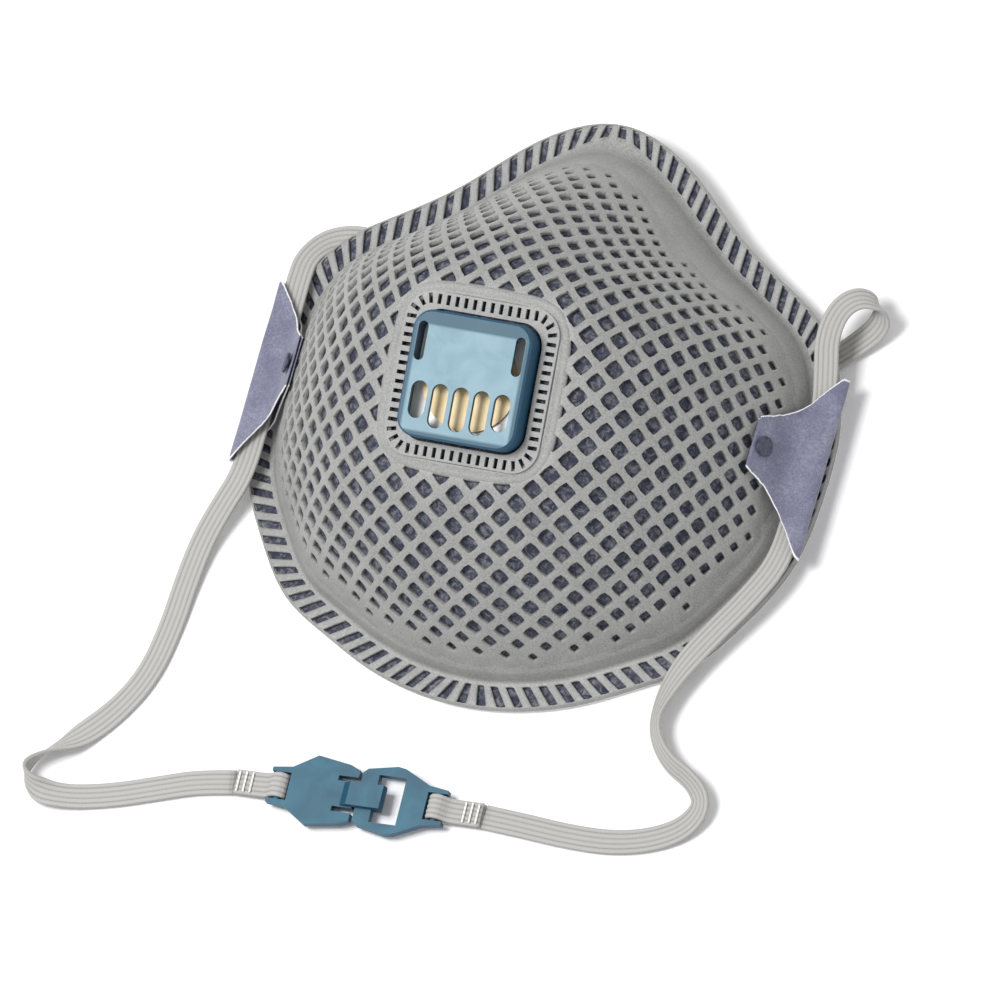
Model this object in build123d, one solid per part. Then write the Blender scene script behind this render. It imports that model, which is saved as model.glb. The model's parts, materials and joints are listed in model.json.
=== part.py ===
from build123d import *
import math
import os

os.makedirs("parts", exist_ok=True)

# A valved disposable dust mask lying rim down, dome up, with its head strap laid out in front of it.
# Frame, in millimetres: +Z out of the face, +Y towards the nose, +X to the side.
# The rim lies on z = 0 from the chin to past the cheeks and lifts gently towards the nose.

# ---------------------------------------------------------------- driving dimensions
rim_width = 139.4            # across the flange, cheek to cheek
rim_length = 139.6           # along the flange, chin to nose
flange_width = 5.8           # flat welded edge outside the dome
dome_height = 51.5           # rim plane to the middle of the flat pad that carries the valve
cheek_cone = 0.40            # how straight the cheek walls run: 0 round, 1 straight
nose_cone = 0.22             # how much straighter the ridge to the nose is
lift_start = 5.0             # y where the rim leaves the table
lift_bend_radius = 25.0
lift_angle = 6.5             # degrees
valve_y = -8.8               # valve centre, towards the chin
valve_tilt = 15.0            # degrees, the pad looks towards the chin

shell_wall = 1.2             # moulded net
web_wall = 0.45              # dark cover web behind the net
media_wall = 1.25            # filter media
liner_wall = 0.45            # soft inner liner
layer_gap = 0.05             # between neighbouring layers
shell_flange = 1.05          # thickness of the net's own flange
slot_count = 104             # slanted slots round the flange
slot_length = 4.6
slot_width = 1.7
slot_slant = 28.0            # degrees off square to the edge, mirrored left and right

collar_size = 39.5           # flat square pad that carries the valve
neck_radius = 10.2           # valve neck through the layers
neck_wall = 1.4
neck_clearance = 0.2
seat_size = 27.0
seat_corner = 4.0
seat_plate = 1.0
lip_height = 0.4             # raised ring that the flap closes on
lip_width = 0.9
spoke_width = 1.2
flap_radius = 11.6
flap_thickness = 0.4
flap_gap = 0.05              # flap above its lip when shut
hinge_y = 10.0               # hinge line, from the valve centre towards the nose
hinge_radius = 0.5
hinge_clearance = 0.15
hinge_clip_wall = 0.7
hinge_clip_length = 2.4
hinge_clip_x = 5.0
cover_size = 29.2
cover_corner = 4.6
cover_top = 1.1
cover_height = 6.0
cover_gap = 0.1              # cover wall round the seat plate
vent_count = 5               # round topped slots in the lower half of the cover
vent_width = 4.0
vent_length = 10.2
vent_pitch = 5.1
vent_centre = -6.9           # from the valve centre
side_vent_length = 9.0
side_vent_width = 2.4
ring_inner = 30.4            # crimped ring round the cover
ring_outer = 38.0
ring_height = 0.8
ring_corner = 6.5
ring_slit_count = 60
ring_slit_length = 2.3
ring_slit_width = 0.9
retainer_radius = 14.0
retainer_height = 1.3

sleeve_front = -23.8         # y of the wide end of a sleeve
sleeve_back = 20.3
rivet_radius = 2.4
rivet_head = 0.8
rivet_shank = 1.1
rivet_y = -1.8

strap_width = 6.0
strap_thickness = 1.0
strap_gap = 0.2              # between a strap end and the loop stitched to it
clasp_x, clasp_y, clasp_turn = -38.0, -96.3, 2.0   # hook bar on the table, and the clasp's heading
clasp_length = 38.4          # hook bar to catch bar
clasp_bar_radius = 1.0
clasp_bar_z = 2.45           # bar centre above the table
clasp_plate = 2.0
clasp_clearance = 0.3
bar_clearance = 0.2          # strap loop round its bar
hook_width = 16.6
horn_reach = 2.2             # horns past the strap bars
catch_width = 16.4
tongue_width = 5.6
front_bar_x = 19.4           # catch front bar, from the hook bar
front_bar_width = 4.0
window_length = 6.6
tail_length = 11.0           # strap folded back and stitched
stitch_length = 1.6

# ---------------------------------------------------------------- rim and dome form
# right half of the flange edge, nose to chin, as shares of the half width and half length
half_edge = [(0.0, 1.0), (0.17, 0.957), (0.314, 0.864), (0.495, 0.708), (0.70, 0.572), (0.856, 0.458),
             (0.952, 0.30), (0.993, 0.12), (0.998, -0.10), (0.958, -0.361), (0.845, -0.572),
             (0.71, -0.742), (0.545, -0.842), (0.386, -0.921), (0.2, -0.978), (0.0, -1.0)]
right_edge = [(x * rim_width / 2, y * rim_length / 2) for x, y in half_edge]
left_edge = [(-x, y) for x, y in reversed(right_edge[1:-1])]
edge_line = Spline(*right_edge, *left_edge, periodic=True)
meridians = 32


def edge_point(share, inward):
    """A point of the flange edge, moved square to it towards the dome."""
    here, along = edge_line @ share, edge_line % share
    side = Vector(-along.Y, along.X)
    if side.dot(here) > 0:
        side = -side
    return here + side * inward


def lift(y):
    """Height of the rim's underside above the table."""
    angle = math.radians(lift_angle)
    bend = lift_bend_radius * math.sin(angle)
    if y <= lift_start:
        return 0.0
    if y <= lift_start + bend:
        return lift_bend_radius - math.sqrt(lift_bend_radius**2 - (y - lift_start) ** 2)
    return lift_bend_radius * (1 - math.cos(angle)) + (y - lift_start - bend) * math.tan(angle)


def collar_point(angle, depth):
    """The rounded square where the dome meets the flat pad."""
    bulge = 5
    reach = (abs(math.cos(angle)) ** bulge + abs(math.sin(angle)) ** bulge) ** (-1 / bulge)
    reach *= collar_size / 2 - depth * 0.35
    return Vector(reach * math.cos(angle), valve_y + reach * math.sin(angle) * math.cos(math.radians(valve_tilt)))


def dome_section(height, depth):
    """The dome's outline at one height under the pad's middle, depth inside the outer surface."""
    points = []
    top = dome_height - depth
    for i in range(meridians):
        foot = edge_point(i / meridians, flange_width + depth)
        rise = lift((edge_line @ (i / meridians)).Y)
        angle = math.atan2(foot.Y, foot.X)
        cone = cheek_cone + nose_cone * max(0.0, math.sin(angle)) ** 3
        up = min(1.0, (height - rise) / (top - rise))
        spread = 1 - cone * up
        if up > 0:
            spread = (1 - cone) * math.sqrt(1 - up * up) + cone * (1 - up)
        collar = collar_point(angle, depth)
        point = collar + (foot - collar) * spread
        tilt = math.tan(math.radians(valve_tilt)) * (height / top) ** 2
        points.append(Vector(point.X, point.Y, height + (point.Y - valve_y) * tilt))
    shares = [i / meridians for i in range(meridians + 1)]
    return Face(Wire([Edge.make_spline(points, periodic=True, parameters=shares)]))


def dome(depth):
    top = dome_height - depth
    shares = [0, 0.1, 0.22, 0.38, 0.56, 0.74, 0.89, 1]
    return loft([dome_section(top * share, depth) for share in shares])


def lift_slab(low, high):
    """A slab that follows the rim's underside, from low to high above it."""
    angle = math.radians(lift_angle)
    reach = rim_length
    away = Vector(0, math.cos(angle), math.sin(angle))

    def line_at(offset):
        radius = lift_bend_radius - offset
        start = Vector(0, lift_start, offset)
        middle = Vector(0, lift_start + radius * math.sin(angle / 2),
                        lift_bend_radius - radius * math.cos(angle / 2))
        end = Vector(0, lift_start + radius * math.sin(angle), lift_bend_radius - radius * math.cos(angle))
        return Vector(0, -reach, offset), start, middle, end, end + away * reach

    a, b, c, d, e = line_at(low)
    f, g, h, i, j = line_at(high)
    side = make_face([Line(a, b), ThreePointArc(b, c, d), Line(d, e), Line(e, j),
                      Line(j, i), ThreePointArc(i, h, g), Line(g, f), Line(f, a)])
    return extrude(side, rim_width / 2 + 10, dir=(1, 0, 0), both=True)


def edge_prism(inward):
    points = [edge_point(i / (2 * meridians), inward) for i in range(2 * meridians)]
    outline = edge_line if inward == 0 else Spline(*points, periodic=True)
    return Pos(0, 0, -5) * extrude(make_face(outline), 45)


domes = {}


def dome_at(depth):
    if depth not in domes:
        domes[depth] = dome(depth)
    return domes[depth]


valve_place = Pos(0, valve_y, dome_height) * Rot(valve_tilt, 0, 0)


def hat(outside, wall, flange_low, flange_high):
    """One nested layer: a domed wall with a flange, open underneath."""
    layer = dome_at(outside)
    if flange_high is not None:
        layer = layer + (edge_prism(0) & lift_slab(flange_low, flange_high))
    layer = layer - dome_at(outside + wall) - lift_slab(-rim_length / 2, flange_low)
    neck_hole = valve_place * Cylinder(neck_radius + neck_clearance, dome_height)
    return layer - neck_hole


liner_flange = (0.0, liner_wall)
web_flange = (liner_wall + layer_gap, liner_wall + layer_gap + web_wall)
net_flange = (web_flange[1] + layer_gap, web_flange[1] + layer_gap + shell_flange)
web_depth = shell_wall + layer_gap
media_depth = web_depth + web_wall + layer_gap
liner_depth = media_depth + media_wall + layer_gap
layers_depth = liner_depth + liner_wall


def flange_slot(share, turn):
    here, along = edge_point(share, flange_width / 2), edge_line % share
    heading = math.degrees(math.atan2(along.Y, along.X)) + 90 + turn
    slot = extrude(SlotOverall(slot_length, slot_width), 30)
    return Pos(here.X, here.Y, net_flange[0] - 1) * Rot(0, 0, heading) * slot


# sleeves: side profile (x, z) of the right one, hugging the wall and then lying over the flange
sleeve_outer = [(56.05, 18.7), (57.45, 19.5), (63.2, 8.9), (69.3, 8.3), (70.8, 6.4), (69.3, 4.4), (62.7, 4.6), (61.6, 7.2)]
sleeve_tunnel = [(63.0, 7.7), (69.0, 7.5), (70.0, 6.4), (69.0, 5.2), (63.0, 5.2)]
sleeve_plan = [(54, 2.3), (60, 7.5), (66, 16), (69.4, sleeve_back), (72, sleeve_back), (72, sleeve_front),
               (69.6, sleeve_front), (66, -18), (60, -10), (54, -5.9)]
slope = Vector(sleeve_outer[2][0] - sleeve_outer[1][0], 0, sleeve_outer[2][1] - sleeve_outer[1][1]).normalized()
sleeve_axis = Vector(-slope.Z, 0, slope.X)
rivet_place = Vector(sleeve_outer[1][0], rivet_y, sleeve_outer[1][1]) + slope * 2.6


def rivet_line(radius, start, end):
    """A round bar along the rivet's axis, measured outwards from the sleeve's outer face."""
    plane = Plane(origin=rivet_place + sleeve_axis * start, z_dir=sleeve_axis)
    return extrude(plane * Circle(radius), end - start)


def sleeve():
    side = make_face(Plane.XZ * Polyline(*sleeve_outer, close=True))
    tunnel = make_face(Plane.XZ * Polyline(*sleeve_tunnel, close=True))
    plan = extrude(make_face(Polyline(*sleeve_plan, close=True)), 40)
    body = (extrude(side, rim_length, both=True) - extrude(tunnel, rim_length, both=True)) & plan
    return body - rivet_line(rivet_shank + layer_gap, -6, 1)


def rivet():
    return rivet_line(rivet_radius, layer_gap, rivet_head) + rivet_line(rivet_shank, -rivet_reach, layer_gap * 2)


rivet_reach = 2.5

# ---------------------------------------------------------------- filter layers and rim
net = hat(0, shell_wall, *net_flange)
slots = []
for i in range(slot_count):
    share = (i + 0.5) / slot_count
    side = 1 if (edge_line @ share).X > 0 else -1
    slots.append(flange_slot(share, side * slot_slant))
net = net - slots
for turn in (0, 180):
    hole = rivet_line(rivet_shank + layer_gap, -rivet_reach - layer_gap, 1)
    net = net - (mirror(hole, about=Plane.YZ) if turn else hole)
web = hat(web_depth, web_wall, *web_flange)
media = hat(media_depth, media_wall, web_flange[0], None)
liner = hat(liner_depth, liner_wall, *liner_flange)


# ---------------------------------------------------------------- exhalation valve
# built about the pad's middle, +Z square out of the pad


def square_prism(size, corner, height):
    return extrude(RectangleRounded(size, size, corner), height)


seat_z = layer_gap
lip_z = seat_z + seat_plate
flap_z = lip_z + lip_height + flap_gap
hinge_z = flap_z + flap_thickness / 2
lip_outer = neck_radius + 0.2
clip_top = hinge_z + hinge_radius + hinge_clearance + hinge_clip_wall

seat = Pos(0, 0, seat_z) * square_prism(seat_size, seat_corner, seat_plate)
layers_through = layers_depth * math.cos(math.radians(valve_tilt))
neck_bottom = -layers_through - retainer_height - 0.4
seat += Pos(0, 0, neck_bottom) * extrude(Circle(neck_radius), lip_z - neck_bottom)
seat += Pos(0, 0, lip_z) * extrude(Circle(lip_outer), lip_height)
seat -= Pos(0, 0, neck_bottom - 1) * extrude(Circle(neck_radius - neck_wall), dome_height)
seat -= Pos(0, 0, lip_z) * extrude(Circle(lip_outer - lip_width), lip_height * 2)
for turn in (0, 90):
    spoke = extrude(Rectangle(2 * neck_radius - neck_wall, spoke_width), seat_plate)
    seat += Pos(0, 0, seat_z) * Rot(0, 0, turn) * spoke
for x in (-hinge_clip_x, hinge_clip_x):
    clip = Box(hinge_clip_length, 2 * (hinge_radius + hinge_clearance + hinge_clip_wall), clip_top - lip_z,
               align=(Align.CENTER, Align.CENTER, Align.MIN))
    seat += Pos(x, hinge_y, lip_z) * clip
seat -= Pos(0, hinge_y, hinge_z) * Rot(0, 90, 0) * Cylinder(hinge_radius + hinge_clearance, seat_size)
for x in (-hinge_clip_x, hinge_clip_x):
    reach = Box(hinge_clip_length + 1, 3, clip_top - lip_z, align=(Align.CENTER, Align.MAX, Align.MIN))
    seat -= Pos(x, hinge_y, hinge_z - flap_thickness / 2 - hinge_clearance) * reach

flap = Circle(flap_radius)
flap -= Pos(0, hinge_y) * Rectangle(4 * flap_radius, 2 * flap_radius, align=(Align.CENTER, Align.MIN))
flap = Pos(0, 0, flap_z) * extrude(flap, flap_thickness)
hinge_rod = Cylinder(hinge_radius, 2 * hinge_clip_x + hinge_clip_length)
flap += Pos(0, hinge_y, hinge_z) * Rot(0, 90, 0) * hinge_rod

cover_inside = seat_size + 2 * cover_gap
cover = Pos(0, 0, seat_z) * square_prism(cover_size, cover_corner, cover_height)
cover = chamfer(cover.faces().sort_by(Axis.Z)[-1].edges(), 0.5)
cover -= Pos(0, 0, seat_z) * square_prism(cover_inside, seat_corner + cover_gap, cover_height - cover_top)
vent_bottom = seat_z + cover_height - 2 * cover_top
for i in range(vent_count):
    x = (i - (vent_count - 1) / 2) * vent_pitch
    length = vent_length - (1.6 if i in (0, vent_count - 1) else 0)
    y = vent_centre + (0.8 if i in (0, vent_count - 1) else 0)
    vent = extrude(Rot(0, 0, 90) * SlotOverall(length, vent_width), cover_height)
    cover -= Pos(x, y, vent_bottom) * vent
for side in (-1, 1):
    vent = extrude(Rot(0, 0, 90) * SlotOverall(side_vent_length, side_vent_width), cover_height)
    cover -= Pos(side * (cover_size / 2 - 2.6), 7.2, vent_bottom) * vent

ring = square_prism(ring_outer, ring_corner, ring_height)
ring -= square_prism(ring_inner, seat_corner + 1.4, ring_height)
ring_line = Wire(RectangleRounded(ring_outer - 3.4, ring_outer - 3.4, ring_corner - 1.7).edges())
slits = []
for i in range(ring_slit_count):
    here, along = ring_line @ (i / ring_slit_count), ring_line % (i / ring_slit_count)
    heading = math.degrees(math.atan2(along.Y, along.X)) + 90
    slit = Box(ring_slit_length, ring_slit_width, ring_height * 3)
    slits.append(Pos(here.X, here.Y, ring_height) * Rot(0, 0, heading) * slit)
ring = Pos(0, 0, seat_z) * (ring - slits)

retainer = Circle(retainer_radius) - Circle(neck_radius + layer_gap)
retainer = Pos(0, 0, -layers_through - layer_gap - retainer_height) * extrude(retainer, retainer_height)

# ---------------------------------------------------------------- clasp, in its own frame
clasp_place = Pos(clasp_x, clasp_y, 0) * Rot(0, 0, clasp_turn)
plate_low = clasp_bar_z - clasp_plate / 2
loop_radius = clasp_bar_radius + bar_clearance + strap_thickness
slot_half = strap_width / 2 + clasp_clearance
horn_half = slot_half + 1.5


def strap_bar(half):
    """The bar that the strap loops round."""
    bar = Rot(90, 0, 0) * Cylinder(clasp_bar_radius, 2 * half)
    return Pos(0, 0, clasp_bar_z) * bar


def plan_prism(points):
    return Pos(0, 0, plate_low) * extrude(make_face(Polyline(*points, close=True)), clasp_plate)


slot_end = loop_radius + clasp_clearance
hook_half = hook_width / 2
hook_rail_end = front_bar_x - clasp_clearance - 0.5
hook_body = plan_prism([(slot_end, -horn_half), (slot_end, horn_half), (slot_end + 5.5, hook_half),
                        (hook_rail_end - 2.5, hook_half - 1.2), (hook_rail_end, hook_half - 2.2),
                        (hook_rail_end, 2.2 - hook_half), (hook_rail_end - 2.5, 1.2 - hook_half),
                        (slot_end + 5.5, -hook_half)])
for side in (-1, 1):
    horn = [(-horn_reach, side * slot_half), (-horn_reach, side * (slot_half + 0.9)), (slot_end, side * horn_half),
            (slot_end + 1, side * horn_half), (slot_end + 1, side * slot_half)]
    hook_body += plan_prism(horn)
    hook_body -= Pos(hook_rail_end - 1.5, side * (tongue_width / 2 + 0.9), plate_low) * Box(6.5, 1.2, 3 * clasp_plate)
hook_body += strap_bar(slot_half + 0.5)
tongue_low = plate_low + clasp_plate + clasp_clearance
tongue_tip = front_bar_x + front_bar_width + clasp_clearance + 2.4
tongue_side = [(hook_rail_end - 3, plate_low), (hook_rail_end, plate_low),
               (hook_rail_end, tongue_low), (front_bar_x + front_bar_width + clasp_clearance, tongue_low),
               (front_bar_x + front_bar_width + clasp_clearance, plate_low + 0.4), (tongue_tip - 0.6, plate_low + 0.4),
               (tongue_tip, tongue_low), (tongue_tip - 0.4, tongue_low + 1.5), (hook_rail_end - 1, tongue_low + 1.5),
               (hook_rail_end - 3, plate_low + clasp_plate)]
tongue = extrude(make_face(Plane.XZ * Polyline(*tongue_side, close=True)), tongue_width / 2, both=True)
hook = clasp_place * (hook_body + tongue)

catch_bar_x = clasp_length
window_start = front_bar_x + front_bar_width
window_end = window_start + window_length
catch_half = catch_width / 2
catch_outline = [(front_bar_x, catch_half - 2.4), (front_bar_x + 1, catch_half - 1.4),
                 (window_start + 4, catch_half), (window_start + 6, catch_half - 0.3),
                 (catch_bar_x - slot_end, horn_half)]
catch = plan_prism(catch_outline + [(x, -y) for x, y in reversed(catch_outline)])
catch -= Pos((window_start + window_end) / 2, 0, plate_low) * Box(window_length, catch_width - 5.0, 3 * clasp_plate)
for side in (-1, 1):
    horn = [(catch_bar_x + horn_reach, side * slot_half), (catch_bar_x + horn_reach, side * (slot_half + 0.9)),
            (catch_bar_x - slot_end, side * horn_half), (catch_bar_x - slot_end - 1, side * horn_half),
            (catch_bar_x - slot_end - 1, side * slot_half)]
    catch += plan_prism(horn)
catch = clasp_place * (catch + Pos(catch_bar_x, 0, 0) * strap_bar(slot_half + 0.5))


def loop_end():
    """Strap folded round a bar at the origin and stitched to itself, towards -X, strap_width across."""
    inside = clasp_bar_radius + bar_clearance
    low = clasp_bar_z - loop_radius
    stadium = Pos(0, 0, 0) * Circle(loop_radius) - Circle(inside)
    side = Plane.XZ * Pos(0, clasp_bar_z) * stadium
    eye = extrude(side, strap_width / 2, both=True)
    tail = Box(tail_length - 3.2, strap_width, 2 * strap_thickness + 0.1, align=(Align.MAX, Align.CENTER, Align.MIN))
    neck_side = [(-1.5, clasp_bar_z - 1.7), (-1.5, clasp_bar_z + 1.7), (-3.2, low + 2 * strap_thickness + 0.1), (-3.2, low)]
    neck = extrude(make_face(Plane.XZ * Polyline(*neck_side, close=True)), strap_width / 2, both=True)
    opening = Pos(0, 0, clasp_bar_z) * Rot(90, 0, 0) * Cylinder(inside, strap_width + 1)
    return (eye + neck + Pos(-3.2, 0, low) * tail) - opening


def stitch():
    """Weld stitches on top of the doubled strap, near its end."""
    row = Box(stitch_length / 4, strap_width - 1.2, 0.3, align=(Align.CENTER, Align.CENTER, Align.MIN))
    top = clasp_bar_z - loop_radius + 2 * strap_thickness + 0.1
    return [Pos(-tail_length + 1.0 + i * stitch_length, 0, top + 0.02) * row for i in range(3)]


left_loop = clasp_place * loop_end()
right_loop = clasp_place * Pos(clasp_length, 0, 0) * Rot(0, 0, 180) * loop_end()
left_stitch = [clasp_place * row for row in stitch()]
right_stitch = [clasp_place * Pos(clasp_length, 0, 0) * Rot(0, 0, 180) * row for row in stitch()]

# ---------------------------------------------------------------- head strap
# one flat elastic, clasp hook to clasp catch: left neck run, left sleeve, crown run under the mask,
# right sleeve, right neck run; z is the middle of its thickness
strap_low = clasp_bar_z - loop_radius + strap_thickness / 2
strap_route = [
    (-57.5, -97.3, 0.75), (-67, -100.4, 0.7), (-77, -104.6, 0.6), (-87.5, -107.4, 0.6), (-95.2, -107.6, 1.2),
    (-99.4, -102.0, 1.4), (-97.4, -95.3, 1.2), (-88, -90.6, 0.9), (-80.5, -83.5, 0.6), (-76.6, -74, 0.6),
    (-75.2, -63, 0.6), (-74.6, -52, 1.2), (-72.8, -43, 2.4), (-69.4, -35.5, 4.5), (-66.2, -27, 6.1),
    (-66.2, -14, 6.25), (-66.0, -1, 6.3), (-66.2, 12, 6.25), (-66.5, 24, 6.1), (-67.6, 32, 3.2),
    (-62.8, 38, 1.1), (-54, 37, 0.7), (-46.5, 31, 0.6), (-42, 22, 0.6), (-39, 9, 0.6), (-33, -6, 0.6),
    (-22, -18, 0.6), (-6, -24.5, 0.6), (11, -23.5, 0.6), (26, -15.5, 0.6), (38, -4, 0.6), (47, 7, 0.6),
    (53.5, 17, 0.6), (60.5, 24.5, 0.65), (68, 30.5, 1.4), (73.8, 37, 3.4), (72.4, 44.2, 5.6), (65.8, 46.6, 7.2),
    (60.9, 41.8, 7.8), (61.8, 34, 7.3), (65.3, 26, 6.5), (66.2, 14, 6.25), (66.0, 0, 6.3), (66.2, -13, 6.25),
    (65.9, -25, 6.1), (61.2, -34.5, 5.6), (55.6, -43.5, 5.0), (50.6, -52, 4.3), (47.4, -60, 2.8),
    (46.6, -68, 1.2), (51.4, -74.6, 0.8), (59.5, -77.5, 1.2), (63.8, -84.2, 1.2), (61.2, -91.6, 0.9),
    (53, -95.6, 0.6), (43, -97.2, 0.6), (31.5, -96.2, 0.6), (20.5, -94.7, 0.75)]


def tangent_radii(points):
    """For each corner 0.45 of the shorter run over the tangent of half the turn."""
    radii = []
    for before, here, after in zip(points, points[1:], points[2:]):
        into, out = here - before, after - here
        turn = math.radians(into.get_angle(out))
        radii.append(0.45 * min(into.length, out.length) / math.tan(turn / 2))
    return radii


def strap_start(x):
    """Where the single strap leaves the doubled tail, in the clasp's frame."""
    spot = clasp_place * Pos(x, 0, strap_low)
    return spot.position


left_end = strap_start(-tail_length - strap_gap)
right_end = strap_start(clasp_length + tail_length + strap_gap)
route = [left_end] + [Vector(*p) for p in strap_route] + [right_end]
radii = tangent_radii(route)
path = FilletPolyline(*route, radius=radii)


def strap_section(span, share):
    """The strap lies flat: its width stays level and square to the path."""
    here, along = span @ share, span % share
    plane = Plane(origin=here, x_dir=Vector(0, 0, 1).cross(along), z_dir=along)
    return plane * Rectangle(strap_width, strap_thickness)


strap = Part()
strap_spans = []
for span in path.edges():
    steps = 1 if span.geom_type == GeomType.LINE else 4
    strap_spans.append(loft([strap_section(span, i / steps) for i in range(steps + 1)], ruled=steps == 1))
strap += strap_spans
print("strap length", round(path.length, 1), "volume over section x length",
      round(strap.volume / (strap_width * strap_thickness * path.length), 4))
print("strap radii", [round(r, 1) for r in radii])

# ---------------------------------------------------------------- nodes
right_sleeve, right_rivet = sleeve(), rivet()
nodes = {
    "outer_mesh_shell": net,
    "dark_cover_web": web,
    "filter_media": media,
    "inner_liner": liner,
    "valve_crimp_ring": valve_place * ring,
    "valve_seat": valve_place * seat,
    "valve_flap": valve_place * flap,
    "valve_cover": valve_place * cover,
    "valve_retaining_ring": valve_place * retainer,
    "right_strap_sleeve": right_sleeve,
    "left_strap_sleeve": mirror(right_sleeve, about=Plane.YZ),
    "right_sleeve_rivet": right_rivet,
    "left_sleeve_rivet": mirror(right_rivet, about=Plane.YZ),
    "head_strap": strap,
    "left_strap_end_loop": left_loop,
    "right_strap_end_loop": right_loop,
    "left_strap_stitches": Compound(left_stitch),
    "right_strap_stitches": Compound(right_stitch),
    "clasp_hook": hook,
    "clasp_catch": catch,
}
for name, shape in nodes.items():
    export_step(shape, f"parts/{name}.step")
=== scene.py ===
import json
import math
import bmesh
import bpy
import numpy as np
from mathutils import Matrix, Vector, noise


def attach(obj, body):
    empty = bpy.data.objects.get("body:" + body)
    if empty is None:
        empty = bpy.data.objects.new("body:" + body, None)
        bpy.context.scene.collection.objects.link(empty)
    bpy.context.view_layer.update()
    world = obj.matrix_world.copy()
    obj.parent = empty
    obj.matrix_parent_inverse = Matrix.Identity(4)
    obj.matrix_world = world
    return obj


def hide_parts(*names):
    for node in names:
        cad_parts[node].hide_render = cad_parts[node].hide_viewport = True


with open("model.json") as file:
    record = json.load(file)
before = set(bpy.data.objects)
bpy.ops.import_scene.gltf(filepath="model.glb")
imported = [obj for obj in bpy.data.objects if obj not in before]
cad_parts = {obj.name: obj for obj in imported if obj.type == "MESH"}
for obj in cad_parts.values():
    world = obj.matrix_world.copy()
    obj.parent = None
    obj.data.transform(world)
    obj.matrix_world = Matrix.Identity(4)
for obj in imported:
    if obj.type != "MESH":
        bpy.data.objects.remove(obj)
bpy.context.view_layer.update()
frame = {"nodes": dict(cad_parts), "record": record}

mm = 0.001


# view, floor and light; lengths in every table are millimetres unless it says otherwise
viewSettings = {
    "right": (0.9185, 0.2668, -0.2919),
    "up": (-0.1616, 0.9269, 0.3389),
    "back": (0.3610, -0.2641, 0.8944),
    "middleRight": -11.345,     # mm along right and up from the mask's origin to the picture's middle
    "middleUp": -17.376,
    "width": 226.6,             # mm across the picture
    "floorSize": 3.0,           # metres
    "floorHeight": -0.4,        # just clear of the mask
    "worldLevel": 0.55,         # light from all round; the camera sees it white
    "keyPower": 9.5,
    "fillPower": 1.4,
}


def placeCamera(v):
    right, up, back = Vector(v["right"]), Vector(v["up"]), Vector(v["back"])
    data = bpy.data.cameras.new("viewCamera")
    data.type = "ORTHO"
    data.ortho_scale = v["width"] * mm
    data.clip_end = 10
    camera = bpy.data.objects.new("viewCamera", data)
    middle = (right * v["middleRight"] + up * v["middleUp"]) * mm
    turn = Matrix((right, up, back)).transposed().to_4x4()
    camera.matrix_world = Matrix.Translation(middle + back * 0.8) @ turn
    bpy.context.scene.collection.objects.link(camera)
    bpy.context.scene.camera = camera


placeCamera(viewSettings)
bpy.context.scene.view_settings.view_transform = "Standard"
print("view made")


# small helpers
def newObject(name, bm):
    mesh = bpy.data.meshes.new(name)
    bm.to_mesh(mesh)
    bm.free()
    for face in mesh.polygons:
        face.use_smooth = True
    made = bpy.data.objects.new(name, mesh)
    bpy.context.scene.collection.objects.link(made)
    return made


def addModifier(piece, kind, **settings):
    modifier = piece.modifiers.new(kind.lower(), kind)
    for key, value in settings.items():
        setattr(modifier, key, value)
    return modifier


def subdivide(piece, levels):
    addModifier(piece, "SUBSURF", levels=levels, render_levels=levels)


# a grid of points; place(column, row) gives millimetres
def mappedGrid(columns, rows, place, closed=False):
    bm = bmesh.new()
    bmesh.ops.create_grid(bm, x_segments=columns, y_segments=rows, size=0.5)
    for vert in bm.verts:
        column, row = round((vert.co.x + 0.5) * columns), round((vert.co.y + 0.5) * rows)
        vert.co = Vector(place(column, row)) * mm
    if closed:
        bmesh.ops.remove_doubles(bm, verts=bm.verts, dist=1e-7)
    return bm


# columns run round the mask, one row from each list of points
def ringGrid(places, closed=True):
    return mappedGrid(len(places[0]) - 1, len(places) - 1, lambda column, row: places[row][column], closed)


def turnFaces(bm, upwards=True):
    bmesh.ops.recalc_face_normals(bm, faces=bm.faces)
    if (sum(f.normal.z for f in bm.faces) > 0) != upwards:
        bmesh.ops.reverse_faces(bm, faces=bm.faces)


# a solid's mesh with its triangles joined into faces and its edges rounded
def copyOfNode(name, node, bevel, segments, edgeSlot):
    bm = bmesh.new()
    bm.from_mesh(frame["nodes"][node].data)
    bmesh.ops.remove_doubles(bm, verts=bm.verts, dist=2e-6)
    bmesh.ops.dissolve_limit(bm, angle_limit=math.radians(1.2), verts=bm.verts, edges=bm.edges)
    piece = newObject(name, bm)
    addModifier(piece, "BEVEL", width=bevel * mm, segments=segments, limit_method="ANGLE",
                angle_limit=math.radians(32), harden_normals=True, material=edgeSlot)
    addModifier(piece, "WEIGHTED_NORMAL", mode="FACE_AREA", weight=100, keep_sharp=True)
    return piece


# material helpers
def linearColour(code):
    parts = [int(code[i:i + 2], 16) / 255 for i in (1, 3, 5)]
    return [p / 12.92 if p <= 0.04045 else ((p + 0.055) / 1.055) ** 2.4 for p in parts] + [1.0]


def newMaterial(name):
    material = bpy.data.materials.new(name)
    material.use_nodes = True
    tree = material.node_tree
    return material, tree, tree.nodes["Principled BSDF"]


def addNode(tree, kind, links=None, inputs=None, **settings):
    node = tree.nodes.new(kind)
    for key, value in settings.items():
        setattr(node, key, value)
    for key, value in (inputs or {}).items():
        node.inputs[key].default_value = value
    for key, source in (links or {}).items():
        tree.links.new(source, node.inputs[key])
    return node


def objectPlace(tree):
    return addNode(tree, "ShaderNodeTexCoord").outputs["Object"]


def perMillimetre(count):
    return count * 1000.0


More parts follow.
